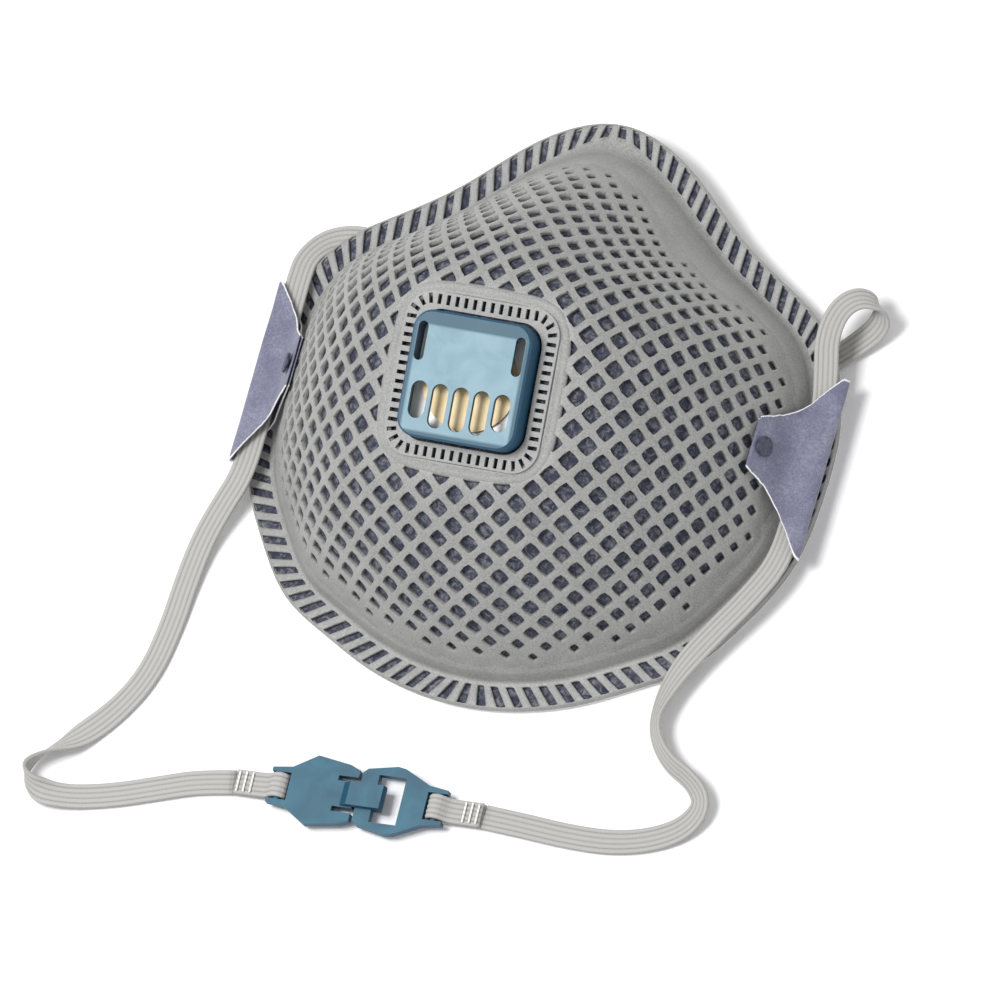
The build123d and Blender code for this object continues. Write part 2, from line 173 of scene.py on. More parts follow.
# noise with patches about so many millimetres across
def noiseOf(tree, place, size, **inputs):
    return addNode(tree, "ShaderNodeTexNoise", links={"Vector": place},
                   inputs={"Scale": perMillimetre(1 / size), **inputs}).outputs["Fac"]


# distance to the nearest of points about so many millimetres apart
def cellsOf(tree, place, size, **inputs):
    return addNode(tree, "ShaderNodeTexVoronoi", links={"Vector": place},
                   inputs={"Scale": perMillimetre(1 / size), **inputs}).outputs["Distance"]


# value * factor + added
def scaledSum(tree, value, factor, added):
    return addNode(tree, "ShaderNodeMath", operation="MULTIPLY_ADD", inputs={1: factor},
                   links={0: value, 2: added}).outputs[0]


# 0 below low, top above high
def climbOf(tree, value, low, high, top=1.0):
    return addNode(tree, "ShaderNodeMapRange", links={"Value": value},
                   inputs={"From Min": low, "From Max": high, "To Max": top}).outputs["Result"]


# first where amount is 0, second where it is 1; each is a socket or a colour code
def mixColours(tree, amount, first, second):
    mix = addNode(tree, "ShaderNodeMix", data_type="RGBA", links={0: amount})
    for socket, colour in ((6, first), (7, second)):
        if isinstance(colour, str):
            mix.inputs[socket].default_value = linearColour(colour)
        else:
            tree.links.new(colour, mix.inputs[socket])
    return mix.outputs[2]


def colourRamp(tree, source, stops):
    ramp = addNode(tree, "ShaderNodeValToRGB", links={"Fac": source})
    for i, (place, code) in enumerate(stops):
        if i > 1:
            ramp.color_ramp.elements.new(place)
        ramp.color_ramp.elements[i].position = place
        ramp.color_ramp.elements[i].color = linearColour(code)
    return ramp.outputs["Color"]


# distance is the bump's height in millimetres
def setSurface(tree, shader, colour, height=None, bump=0.0, distance=0.0, **numbers):
    for key, value in numbers.items():
        shader.inputs[key.replace("_", " ")].default_value = value
    tree.links.new(colour, shader.inputs["Base Color"])
    if height is not None:
        made = addNode(tree, "ShaderNodeBump", links={"Height": height},
                       inputs={"Strength": bump, "Distance": distance * mm})
        tree.links.new(made.outputs["Normal"], shader.inputs["Normal"])


# materials
# injection moulded polyethylene net: satin grey, faint mottling and a fine moulded grain
def mouldedNetPlastic():
    material, tree, shader = newMaterial("mouldedNetPlastic")
    place = objectPlace(tree)
    cloud = noiseOf(tree, place, 9, Detail=3.0)
    grain = noiseOf(tree, place, 0.45, Detail=4.0)
    mixed = scaledSum(tree, cloud, 0.35, grain)
    colour = colourRamp(tree, mixed, [(0.35, "#7B7C7B"), (0.85, "#A0A09E")])
    setSurface(tree, shader, colour, grain, 0.25, 0.08, Roughness=0.5, IOR=1.5)
    return material


# spunbond polypropylene: charcoal filaments pressed flat, lighter where they bunch
def spunbondCharcoal():
    material, tree, shader = newMaterial("spunbondCharcoal")
    patch = noiseOf(tree, objectPlace(tree), 1.6, Detail=5.0, Roughness=0.7, Distortion=0.8)
    colour = colourRamp(tree, patch, [(0.38, "#2A2D3F"), (0.50, "#454855"), (0.66, "#808188")])
    setSurface(tree, shader, colour, patch, 0.5, 0.3, Roughness=0.85, IOR=1.49)
    return material


# soft thermobonded polyester: white filaments with small pressed bond points every 1.6 mm
def thermobondedWhite():
    material, tree, shader = newMaterial("thermobondedWhite")
    place = objectPlace(tree)
    bonds = cellsOf(tree, place, 1.6, Randomness=0.35)
    fibres = noiseOf(tree, place, 0.5, Detail=5.0, Distortion=1.5)
    both = scaledSum(tree, fibres, 0.6, climbOf(tree, bonds, 0.12, 0.32))
    colour = colourRamp(tree, both, [(0.2, "#D2D1CC"), (0.9, "#EFEEEA")])
    setSurface(tree, shader, colour, both, 0.5, 0.25, Roughness=0.9, IOR=1.49, Sheen_Weight=0.2)
    return material


# needled polyester felt: off white with loose crossing fibres
def needledFelt():
    material, tree, shader = newMaterial("needledFelt")
    fibres = noiseOf(tree, objectPlace(tree), 0.8, Detail=6.0, Distortion=2.0)
    colour = colourRamp(tree, fibres, [(0.3, "#CFCDC6"), (0.7, "#EAE8E2")])
    setSurface(tree, shader, colour, fibres, 0.7, 0.3, Roughness=0.95, IOR=1.49)
    return material


# moulded polypropylene, natural white: slightly waxy, with a faint flow mark
def mouldedWhitePlastic():
    material, tree, shader = newMaterial("mouldedWhitePlastic")
    flow = noiseOf(tree, objectPlace(tree), 4, Detail=2.0)
    colour = colourRamp(tree, flow, [(0.3, "#F1F1EE"), (0.7, "#FBFBF9")])
    setSurface(tree, shader, colour, flow, 0.05, 0.1, Roughness=0.35, IOR=1.49)
    return material


# depth of a band of painted shade along the border of a square cover's face, where the walls stand behind it;
# it stands in for the shade on the sloped walls
def paintedShadeBand(tree, place, axis, wall):
    def number(operation, first, *second):
        node = addNode(tree, "ShaderNodeMath", operation=operation, links={0: first})
        for value in second:
            if isinstance(value, float):
                node.inputs[1].default_value = value
            else:
                tree.links.new(value, node.inputs[1])
        return node.outputs[0]

    sideways = addNode(tree, "ShaderNodeSeparateXYZ", links={"Vector": place}).outputs["X"]
    across = number("ABSOLUTE", sideways)
    upward = addNode(tree, "ShaderNodeVectorMath", operation="DOT_PRODUCT", links={0: place},
                     inputs={1: (0.0, axis[2], -axis[1])}).outputs["Value"]
    centred = number("SUBTRACT", upward, wall["centre"])
    most = number("MAXIMUM", across, number("ABSOLUTE", centred))
    most = number("MAXIMUM", most, number("ADD", centred, wall["topBand"]))
    return climbOf(tree, most, wall["from"], wall["to"], wall["depth"])


# moulded tinted clear plastic: pale where it is one wall thick, deep at its sides; the deep sides are painted
# shade, picked by the faces' normals, standing in for the light running along the walls
def mouldedTintedPlastic(name, axis, faceStops, paintedSideShade, transmission, wall=None):
    material, tree, shader = newMaterial(name)
    place = objectPlace(tree)
    normal = addNode(tree, "ShaderNodeNewGeometry").outputs["Normal"]
    facing = addNode(tree, "ShaderNodeVectorMath", operation="DOT_PRODUCT",
                     links={0: normal}, inputs={1: axis}).outputs["Value"]
    flow = noiseOf(tree, place, 7, Detail=3.0, Distortion=0.6)
    face = colourRamp(tree, flow, faceStops)
    # an optional band of painted shade along the border, standing in for the shade on the walls
    if wall:
        face = mixColours(tree, paintedShadeBand(tree, place, axis, wall), face, wall["code"])
    # faces turned away from the axis take the painted side shade
    amount = climbOf(tree, facing, 0.80, 0.985)
    setSurface(tree, shader, mixColours(tree, amount, paintedSideShade, face), flow, 0.06, 0.1,
               Roughness=0.5, IOR=1.49, Transmission_Weight=transmission)
    return material


# the same moulded plastic along a rounded edge: painted shade, deep and glossy, standing in for the dark look
# of the edges
def mouldedTintedEdge():
    material, tree, shader = newMaterial("tintedEdgePaintedShade")
    flow = noiseOf(tree, objectPlace(tree), 2.5, Detail=2.0)
    shade = colourRamp(tree, flow, [(0.3, "#14405C"), (0.8, "#3B7A94")])
    setSurface(tree, shader, shade, Roughness=0.14, IOR=1.49)
    return material


# cast silicone sheet: even tan with a soft gloss
def castSilicone():
    material, tree, shader = newMaterial("castSilicone")
    flow = noiseOf(tree, objectPlace(tree), 3, Detail=2.0)
    colour = colourRamp(tree, flow, [(0.3, "#E3C890"), (0.7, "#F0DAAC")])
    setSurface(tree, shader, colour, flow, 0.05, 0.1, Roughness=0.4, IOR=1.41)
    return material


# spunbond sleeve cloth: grey violet filaments, cut edges that fray to white
def spunbondSleeve():
    material, tree, shader = newMaterial("spunbondSleeve")
    place = objectPlace(tree)
    fray = addNode(tree, "ShaderNodeAttribute", attribute_name="fray").outputs["Fac"]
    fibres = noiseOf(tree, place, 0.6, Detail=5.0, Roughness=0.65, Distortion=1.2)
    crease = noiseOf(tree, place, 6, Detail=3.0)
    cloth = colourRamp(tree, scaledSum(tree, crease, 0.5, fibres),
                       [(0.5, "#62637A"), (0.75, "#77788E"), (1.0, "#9496A6")])
    torn = climbOf(tree, scaledSum(tree, fibres, 0.9, fray), 0.98, 1.2)
    setSurface(tree, shader, mixColours(tree, torn, cloth, "#F1F1F3"), fibres, 0.6, 0.25,
               Roughness=0.9, IOR=1.49, Sheen_Weight=0.15)
    return material


# ultrasonic weld button: dark melted filaments, dimpled
def weldedSpot():
    material, tree, shader = newMaterial("weldedSpot")
    dimples = cellsOf(tree, objectPlace(tree), 0.9)
    colour = colourRamp(tree, dimples, [(0.1, "#242433"), (0.7, "#43435A")])
    setSurface(tree, shader, colour, dimples, 0.7, 0.3, Roughness=0.45, IOR=1.5)
    return material


# knitted elastic: pale grey yarn in lengthwise ribs, with a stitch every 0.9 mm; the UV map is in millimetres
def knittedElastic():
    material, tree, shader = newMaterial("knittedElastic")
    place = addNode(tree, "ShaderNodeUVMap", uv_map="weave").outputs["UV"]
    along = addNode(tree, "ShaderNodeTexWave", links={"Vector": place}, bands_direction="Y",
                    inputs={"Scale": 1 / (0.9 * 3.18), "Distortion": 1.2, "Detail": 2.0,
                            "Detail Scale": 1.5}).outputs["Fac"]
    yarn = addNode(tree, "ShaderNodeTexNoise", links={"Vector": place},
                   inputs={"Scale": 2.5, "Detail": 4.0}).outputs["Fac"]
    rib = addNode(tree, "ShaderNodeAttribute", attribute_name="rib").outputs["Fac"]
    colour = colourRamp(tree, scaledSum(tree, yarn, 0.35, rib),
                        [(0.1, "#838180"), (0.55, "#A3A29F"), (1.0, "#B3B2AF")])
    setSurface(tree, shader, colour, scaledSum(tree, along, 0.6, yarn), 0.35, 0.15,
               Roughness=0.85, IOR=1.49, Sheen_Weight=0.15)
    return material


# polyester sewing thread: white, twisted
def sewingThread():
    material, tree, shader = newMaterial("sewingThread")
    twist = addNode(tree, "ShaderNodeTexWave", links={"Vector": objectPlace(tree)},
                    bands_direction="DIAGONAL", inputs={"Scale": perMillimetre(1 / 1.6)}).outputs["Fac"]
    colour = colourRamp(tree, twist, [(0.1, "#D9D8D4"), (0.8, "#F4F3F0")])
    setSurface(tree, shader, colour, twist, 0.5, 0.2, Roughness=0.7, IOR=1.49)
    return material


valveTilt = math.radians(15)
valveAxis = (0.0, -math.sin(valveTilt), math.cos(valveTilt))
# the cover's walls, in metres from the middle of its face, for a band of painted shade that stands in for
# their shade; the band is wider on the nose side
valvePaintedShade = {
    "centre": 0.00483,
    "topBand": 0.0021,
    "from": 0.0129,
    "to": 0.0135,
    "depth": 0.94,          # share of the painted shade
    # colour of the painted shade band
    "code": "#1E5067",
}
finishes = {
    "net_plastic": mouldedNetPlastic(),
    "dark_web": spunbondCharcoal(),
    "filter_felt": needledFelt(),
    "liner_web": thermobondedWhite(),
    "white_plastic": mouldedWhitePlastic(),
    # tinted plastics: face colours, then the painted shade on their sides
    "blue_plastic": mouldedTintedPlastic("tintedPolycarbonate", valveAxis,
                                         [(0.3, "#7396A6"), (0.7, "#89AAB8")], "#194C68", 0.1, valvePaintedShade),
    "sleeve_web": spunbondSleeve(),
    "rivet_plastic": weldedSpot(),
    "elastic": knittedElastic(),
    "thread": sewingThread(),
    # clasp: faces turned up stay lighter, its sides take painted shade
    "teal_plastic": mouldedTintedPlastic("tintedNylon", (0.0, 0.0, 1.0),
                                         [(0.3, "#1A5167"), (0.7, "#28677D")], "#174A66", 0.05),
    "tan_rubber": castSilicone(),
}
nodeSlots = {row["node"]: row["material_slot"] for row in frame["record"]["subparts"]}
for node, piece in frame["nodes"].items():
    piece.data.materials.clear()
    piece.data.materials.append(finishes[nodeSlots[node]])


def dress(piece, slot, body="root", replaced=()):
    piece.data.materials.append(finishes[slot])
    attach(piece, body)
    if replaced:
        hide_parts(*replaced)
    return piece


print("finishes made")


# head strap
strapSize = {
    "width": 6.0,
    "thickness": 1.0,
    "ribs": 5,
    "ribHeight": 0.16,
    "around": 44,
    "stepsPerPoint": 7,
    "length": 0.619,
}
# middle of the elastic's thickness, hook end to catch end, in millimetres; then degrees rolled off flat,
# or the direction of its width where it stands on edge or folds over
strapRoute = [
    (-49.19, -96.69, 0.75, 0), (-57.5, -97.9, 0.75, 0), (-67, -101.2, 0.7, 0), (-77, -104.6, 0.6, 0),
    (-87.5, -107.0, 0.9, 4), (-94.8, -107.2, 3.1, (0.1, 0.5, 0.8)),
    (-99.2, -103.2, 3.7, (0.1, 0.1, 1.0)), (-96.0, -98.4, 3.1, (0.5, -0.3, 0.8)),
    (-89.5, -93.6, 1.4, 10), (-82.0, -85.0, 0.6, 0), (-76.8, -75, 0.6, 0), (-74.9, -63, 0.6, 0),
    (-74.2, -52, 1.2, 0), (-72.7, -42, 2.4, 0), (-69.6, -34, 4.5, 0), (-66.2, -26, 6.1, 0),
    (-66.2, -14, 6.25, 0), (-66.0, -1, 6.3, 0), (-66.0, 12, 6.25, 0), (-66.3, 21, 6.0, 0),
    (-66.9, 28, 3.6, 0), (-63.0, 34, 1.1, 0), (-54, 35.5, 0.7, 0), (-46.5, 31, 0.6, 0),
    (-42, 22, 0.6, 0), (-39, 9, 0.6, 0), (-33, -6, 0.6, 0), (-22, -18, 0.6, 0), (-6, -24.5, 0.6, 0),
    (11, -23.5, 0.6, 0), (26, -15.5, 0.6, 0), (38, -4, 0.6, 0), (47, 7, 0.6, 0), (53.5, 17, 0.6, 0),
    (60.0, 24.0, 0.65, 0), (66.5, 29.5, 1.3, 0), (72.4, 35.2, 3.0, (0.72, -0.66, -0.15)),
    (72.6, 38.8, 6.6, (0.72, -0.68, -0.1)), (68.4, 39.6, 9.4, (0.72, -0.68, 0.1)), (64.2, 36.0, 9.8, 0),
    (62.6, 29.0, 8.6, 0), (64.2, 21.5, 7.2, 0), (66.2, 12, 6.3, 0), (66.0, 0, 6.3, 0),
    (66.2, -13, 6.25, 0), (65.6, -25, 6.1, 0), (60.6, -34.5, 5.6, 0), (54.6, -43.5, 5.0, 0),
    (49.4, -52, 4.3, 0), (46.2, -60, 3.1, 25), (45.8, -67.6, 2.9, 50), (51.0, -74.6, 2.6, 55),
    (58.6, -78.2, 2.6, 50), (62.6, -83.0, 2.2, 30), (59.8, -88.8, 1.0, 8), (52.6, -93.0, 0.6, 0),
    (43, -95.4, 0.6, 0), (31.5, -95.6, 0.6, 0), (20.5, -94.9, 0.75, 0), (11.57, -94.57, 0.75, 0),
]


# each inner row drawn towards the mean of its neighbours
def evened(line, times):
    for _ in range(times):
        line[1:-1] = (line[:-2] + 2 * line[1:-1] + line[2:]) / 4


# points and width directions read from one smooth NURBS line along the route
def followRoute(name, route, steps):
    curve = bpy.data.curves.new(name, "CURVE")
    curve.dimensions = "3D"
    curve.resolution_u = steps
    spline = curve.splines.new("NURBS")
    spline.points.add(len(route) - 1)
    for point, (x, y, z, _) in zip(spline.points, route):
        point.co = (x * mm, y * mm, z * mm, 1.0)
    spline.order_u = 3
    spline.use_endpoint_u = True
    line = bpy.data.objects.new(name, curve)
    bpy.context.scene.collection.objects.link(line)
    bpy.context.view_layer.update()
    mesh = bpy.data.meshes.new_from_object(line)
    points = []
    for vert in mesh.vertices:
        if not points or (vert.co - points[-1]).length > 1e-6:
            points.append(vert.co.copy())
    bpy.data.meshes.remove(mesh)
    bpy.data.objects.remove(line)
    wanted = []
    for i, (x, y, z, turn) in enumerate(route):
        before, after = route[max(0, i - 1)], route[min(len(route) - 1, i + 1)]
        heading = (Vector(after[:3]) - Vector(before[:3])).normalized()
        if isinstance(turn, tuple):
            width = Vector(turn).normalized()
        else:
            level = heading.cross(Vector((0, 0, 1))).normalized()
            width = Matrix.Rotation(math.radians(turn), 3, heading) @ level
        wanted.append(-width if wanted and width.dot(wanted[-1]) < 0 else width)
    share = np.linspace(0, len(route) - 1, len(points))
    widths = np.stack([np.interp(share, range(len(route)), [w[k] for w in wanted]) for k in range(3)], 1)
    evened(widths, 4)
    return points, [Vector(w) for w in widths]


# flat ribbed section swept along points
def ribbedBand(points, widths, size):
    half, thick, around = size["width"] / 2 * mm, size["thickness"] / 2 * mm, size["around"]
    bm = bmesh.new()
    uv = bm.loops.layers.uv.new("weave")
    ribs = bm.verts.layers.float.new("rib")
    flat = around // 2
    section = []
    for i in range(around):
        side = 1 if i < flat else -1
        across = side * (1 - 2 * (i % flat + 0.5) / flat)
        rib = abs(math.sin(math.pi * size["ribs"] * (across + 1) / 2))
        edge = max(0.0, 1 - abs(across) ** 8) ** 0.5
        section.append((across * half, side * edge * (thick - size["ribHeight"] * mm * (1 - rib)), rib))
    rings, lengths, walked = [], [], 0.0
    for i, point in enumerate(points):
        before, after = points[max(0, i - 1)], points[min(len(points) - 1, i + 1)]
        heading = (after - before).normalized()
        width = (widths[i] - heading * widths[i].dot(heading)).normalized()
        rise = width.cross(heading).normalized()
        rings.append([bm.verts.new(point + width * a + rise * b) for a, b, _ in section])
        walked += (point - points[i - 1]).length if i else 0.0
        lengths.append(walked / mm)
    for ring in rings:
        for vert, (_, _, rib) in zip(ring, section):
            vert[ribs] = rib
    girth = 2 * size["width"]
    for i in range(len(rings) - 1):
        for j in range(around):
            k = (j + 1) % around
            face = bm.faces.new((rings[i][j], rings[i][k], rings[i + 1][k], rings[i + 1][j]))
            for loop, (u, v) in zip(face.loops, ((j, i), (j + 1, i), (j + 1, i + 1), (j, i + 1))):
                loop[uv].uv = (u / around * girth, lengths[v])
    bm.faces.new(rings[0])
    bm.faces.new(rings[-1])
    bmesh.ops.recalc_face_normals(bm, faces=bm.faces)
    return bm


strapPoints, strapWidths = followRoute("strapLine", strapRoute, strapSize["stepsPerPoint"])
headStrap = newObject("headStrap", ribbedBand(strapPoints, strapWidths, strapSize))
dress(headStrap, "elastic", replaced=["head_strap"])
print("strap made", len(strapPoints))


# strap ends folded round the clasp's bars
claspSize = {
    "hookBar": (-38.0, -96.3, 0.0),
    "turn": math.radians(2),
    "betweenBars": 38.4,
}
loopSize = dict(strapSize, thickness=0.92, steps=8)
# side view round the bar (x along the clasp, z up): along the under layer, round the bar, back on top
loopRoute = [
    (-11.0, 0.72), (-6.0, 0.72), (-2.6, 0.73), (-0.7, 0.75), (0.7, 0.75), (1.7, 1.75), (1.7, 3.15),
    (0.7, 4.15), (-0.7, 4.15), (-1.75, 3.1), (-2.7, 2.2), (-4.2, 1.75), (-7.0, 1.72), (-10.8, 1.72),
]
claspFrame = Matrix.Translation(Vector(claspSize["hookBar"])) @ Matrix.Rotation(claspSize["turn"], 4, "Z")


def strapEnd(name, along, turn, replaced):
    place = claspFrame @ Matrix.Translation(Vector((along, 0, 0))) @ Matrix.Rotation(turn, 4, "Z")
    width = tuple(place.to_3x3() @ Vector((0, 1, 0)))
    route = [(*(place @ Vector((x, 0, z))), width) for x, z in loopRoute]
    points, widths = followRoute(name, route, loopSize["steps"])
    return dress(newObject(name, ribbedBand(points, widths, loopSize)), "elastic", replaced=[replaced])


leftEnd = strapEnd("leftStrapEnd", 0.0, 0.0, "left_strap_end_loop")
rightEnd = strapEnd("rightStrapEnd", claspSize["betweenBars"], math.pi, "right_strap_end_loop")
print("strap ends made")


# form of the dome, the same as the solids'
domeForm = {
    "rimWidth": 139.4,
    "rimLength": 139.6,
    "flange": 5.8,
    "height": 51.5,
    "cheekCone": 0.40,
    "noseCone": 0.22,
    "liftStart": 5.0,
    "liftRadius": 25.0,
    "liftAngle": math.radians(6.5),
    "valveY": -8.8,
    "valveTilt": valveTilt,
    "collar": 39.5,
    "netTop": 2.05,         # top of the net's flange above the rim's underside
    "outlineSteps": 1440,
    "halfEdge": [(0.0, 1.0), (0.17, 0.957), (0.314, 0.864), (0.495, 0.708), (0.70, 0.572), (0.856, 0.458),
                 (0.952, 0.30), (0.993, 0.12), (0.998, -0.10), (0.958, -0.361), (0.845, -0.572),
                 (0.71, -0.742), (0.545, -0.842), (0.386, -0.921), (0.2, -0.978), (0.0, -1.0)],
}


# evenly spaced points on the closed natural spline through the corners
def closedSpline(corners, count):
    corners = np.array(corners)
    total = len(corners)
    gaps = np.linalg.norm(np.roll(corners, -1, axis=0) - corners, axis=1)
    knots = np.concatenate([[0], np.cumsum(gaps)])
    matrix, right = np.zeros((total, total)), np.zeros((total, 2))
    for i in range(total):
        before, after = gaps[i - 1], gaps[i]
        matrix[i, i - 1] += after
        matrix[i, i] += 2 * (before + after)
        matrix[i, (i + 1) % total] += before
        right[i] = 3 * (after * (corners[i] - corners[i - 1]) / before
                        + before * (corners[(i + 1) % total] - corners[i]) / after)
    slopes = np.linalg.solve(matrix, right)
    places = np.linspace(0, knots[-1], count * 8, endpoint=False)
    span = np.clip(np.searchsorted(knots, places, side="right") - 1, 0, total - 1)
    t = ((places - knots[span]) / gaps[span])[:, None]
    a, b = corners[span], corners[(span + 1) % total]
    da, db = slopes[span] * gaps[span][:, None], slopes[(span + 1) % total] * gaps[span][:, None]
    points = ((2 * t**3 - 3 * t**2 + 1) * a + (t**3 - 2 * t**2 + t) * da
              + (3 * t**2 - 2 * t**3) * b + (t**3 - t**2) * db)
    steps = np.linalg.norm(np.roll(points, -1, axis=0) - points, axis=1)
    walked = np.concatenate([[0], np.cumsum(steps)])
    wanted = np.linspace(0, walked[-1], count, endpoint=False)
    closed = np.vstack([points, points[:1]])
    return np.stack([np.interp(wanted, walked, closed[:, k]) for k in (0, 1)], axis=1)


form = domeForm
rightEdge = [(x * form["rimWidth"] / 2, y * form["rimLength"] / 2) for x, y in form["halfEdge"]]
edgePoints = closedSpline(rightEdge + [(-x, y) for x, y in reversed(rightEdge[1:-1])], form["outlineSteps"])
edgeSteps = np.roll(edgePoints, -1, axis=0) - np.roll(edgePoints, 1, axis=0)
edgeSides = np.stack([-edgeSteps[:, 1], edgeSteps[:, 0]], axis=1)
edgeSides /= np.linalg.norm(edgeSides, axis=1)[:, None]
edgeSides *= -np.sign(np.sum(edgeSides * edgePoints, axis=1))[:, None]
rimTurn = np.linalg.norm(np.roll(edgePoints, -1, axis=0) - edgePoints, axis=1).sum()


# outline point at a share of the way round, moved inwards
def edgePoint(share, inward):
    place = (np.asarray(share) % 1.0) * len(edgePoints)
    low = np.floor(place).astype(int) % len(edgePoints)
    part = (place - np.floor(place))[..., None]
    high = (low + 1) % len(edgePoints)
    here = edgePoints[low] * (1 - part) + edgePoints[high] * part
    side = edgeSides[low] * (1 - part) + edgeSides[high] * part
    return here + side * np.asarray(inward)[..., None]


# height the rim curves up to at the nose end
def rimLift(y):
    y = np.asarray(y, dtype=float)
    radius, angle, start = form["liftRadius"], form["liftAngle"], form["liftStart"]
    bend = radius * math.sin(angle)
    curved = radius - np.sqrt(np.maximum(radius**2 - np.clip(y - start, 0, bend) ** 2, 0))
    straight = radius * (1 - math.cos(angle)) + (y - start - bend) * math.tan(angle)
    return np.where(y <= start, 0, np.where(y <= start + bend, curved, straight))


# foot of the dome in every direction, so that a direction finds its place round the rim
footShares = np.linspace(0, 1, form["outlineSteps"], endpoint=False)


def footTable(depth):
    feet = edgePoint(footShares, np.full(footShares.shape, form["flange"] + depth))
    angles = np.arctan2(feet[:, 1], feet[:, 0]) % (2 * math.pi)
    order = np.argsort(angles)
    rises = rimLift(edgePoint(footShares, np.zeros(footShares.shape))[:, 1])
    return angles[order], feet[order], rises[order]


footTables = {}


# half width of the rounded square round the valve in a direction
def squareReach(angle, half):
    return (np.abs(np.cos(angle)) ** 5 + np.abs(np.sin(angle)) ** 5) ** (-1 / 5) * half


def collarPoint(angle, depth):
    reach = squareReach(angle, form["collar"] / 2 - depth * 0.35)
    y = form["valveY"] + reach * np.sin(angle) * math.cos(form["valveTilt"])
    return np.stack([reach * np.cos(angle), y], -1)


# dome surface: direction round the mask, climb from 0 at the foot to 1 at the collar, depth under the face
def domePoint(angle, climb, depth=0.0, base=None):
    if depth not in footTables:
        footTables[depth] = footTable(depth)
    angles, feet, rises = footTables[depth]
    angle = np.asarray(angle, dtype=float) % (2 * math.pi)
    foot = np.stack([np.interp(angle, angles, feet[:, k], period=2 * math.pi) for k in (0, 1)], -1)
    rise = np.interp(angle, angles, rises, period=2 * math.pi)
    top = form["height"] - depth
    low = (form["netTop"] if base is None else base) / (top - rise)
    up = low + (1 - low) * np.sin(np.asarray(climb) * math.pi / 2)
    cone = form["cheekCone"] + form["noseCone"] * np.maximum(0, np.sin(angle)) ** 3
    dome = (1 - cone) * np.sqrt(np.maximum(0, 1 - up * up)) + cone * (1 - up)
    spread = np.where(up > 0, dome, 1 - cone * up)
    collar = collarPoint(angle, depth)
    flat = collar + (foot - collar) * spread[..., None]
    height = rise + up * (top - rise)
    z = height + (flat[..., 1] - form["valveY"]) * math.tan(form["valveTilt"]) * (height / top) ** 2
    return np.concatenate([flat, z[..., None]], -1)


climbSteps = np.linspace(1, 0, 70)


# points at given distances down the wall from the collar or up from the foot, one direction each
def wallPoints(angles, distances, depth=0.0, fromFoot=False):
    angles, distances = np.asarray(angles, dtype=float), np.asarray(distances, dtype=float)
    grid = domePoint(angles[:, None], climbSteps[None, :])
    steps = np.linalg.norm(np.diff(grid, axis=1), axis=2)
    walked = np.concatenate([np.zeros((len(angles), 1)), np.cumsum(steps, axis=1)], axis=1)
    total = walked[:, -1]
    wanted = total - distances if fromFoot else distances
    climb = np.array([np.interp(w, row, climbSteps) for w, row in zip(wanted, walked)])
    points = domePoint(angles, climb)
    if np.any(depth):
        step = 0.01
        turned = domePoint(angles + step, climb) - domePoint(angles - step, climb)
        above, below = np.minimum(climb + step, 1), np.maximum(climb - step, 0)
        risen = domePoint(angles, above) - domePoint(angles, below)
        out = np.cross(turned, risen)
        out /= np.maximum(np.linalg.norm(out, axis=1), 1e-9)[:, None]
        points = points - out * np.broadcast_to(depth, angles.shape)[:, None]
    return points, total


def softStep(value, low, high):
    share = np.clip((value - low) / (high - low), 0, 1)
    return share * share * (3 - 2 * share)


# diamond net: a flat net cut out of a grid, then drawn over the form
netSize = {
    "pitch": 5.05,          # between strand middles, before the net is drawn over the form
    "strand": 1.45,
    "draw": 1.06,           # stretch down the wall
    "wall": 1.15,
    "plainEdge": 4.0,       # closed margin above the foot
    "plainNose": 8.5,       # extra on both sides of the nose
    "plainBridge": 2.5,     # extra on its bridge
    "fade": 17.0,           # over which the holes grow to full size
    "smallest": 0.30,       # of full size, where the holes begin
    "besideCollar": 0.35,   # the same beside the collar, where they grow faster
    "collarFade": 4.5,
    "uneven": 0.12,         # how far sizes vary from hole to hole
    "opens": (0.22, 0.3),   # a smaller share stays a dimple, and how far that varies
    "alwaysOpen": 3.0,      # except so close to the collar
    "dimple": 0.35,         # depth of a hole that doesn't open
    "cells": 42,
    "underCollar": 2.2,     # how far the net runs on under the collar
    "underRim": 4.5,        # and under the plain margin
    "rimSink": 0.45,
    "collarSink": 0.5,
}


# height of the closed margin above the foot, in each direction
def plainMargin(angles):
    def swell(degrees, spread):
        return np.exp(-((np.asarray(angles) % (2 * math.pi) - math.radians(degrees)) / spread) ** 2)
    return (netSize["plainEdge"] + netSize["plainNose"] * (swell(52, 0.42) + swell(128, 0.42))
            + netSize["plainBridge"] * swell(90, 0.3))


def collarReach(angles):
    spot = collarPoint(angles, 0.0)
    return np.hypot(spot[..., 0], spot[..., 1] - form["valveY"])


